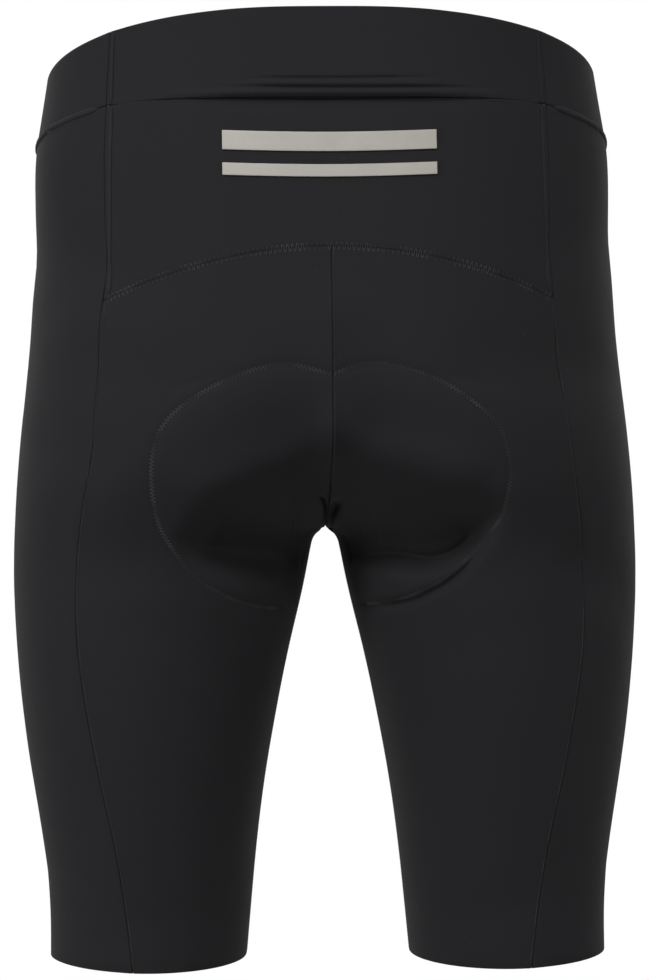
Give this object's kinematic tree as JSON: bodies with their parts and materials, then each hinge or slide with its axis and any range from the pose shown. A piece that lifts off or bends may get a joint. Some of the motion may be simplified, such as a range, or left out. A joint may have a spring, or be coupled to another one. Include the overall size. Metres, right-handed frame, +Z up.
{
  "type": "cycling shorts",
  "caption": "Filled-out stretch-knit cycling shorts with open legs, a deep band, an arched back yoke with a pocket, a seat pad and plain reflective films.",
  "frame": {"origin": "centre of the waist, half way up the band at the sides", "axes": "+Z up towards the waist, -Y towards the back of the shorts, -X towards the wearer's left"},
  "size_m": [0.3616, 0.2322, 0.5377],
  "materials": {
    "knit": "fine matt stretch knit with a faint sheen",
    "band_knit": "doubled stretch knit over elastic, matt",
    "pocket_knit": "thin matt knit",
    "pad_knit": "soft brushed knit over foam",
    "reflective_film": "satin grey film"
  },
  "bodies": {
    "root": {"waistband_back": "band_knit", "waistband_front": "band_knit", "back_yoke": "knit", "pocket_bag": "pocket_knit", "back_panel_left": "knit", "back_panel_right": "knit", "front_panel_left": "knit", "front_panel_right": "knit", "seat_pad": "pad_knit", "reflective_stripe_wide": "reflective_film", "reflective_stripe_narrow": "reflective_film"}
  },
  "joints": []
}
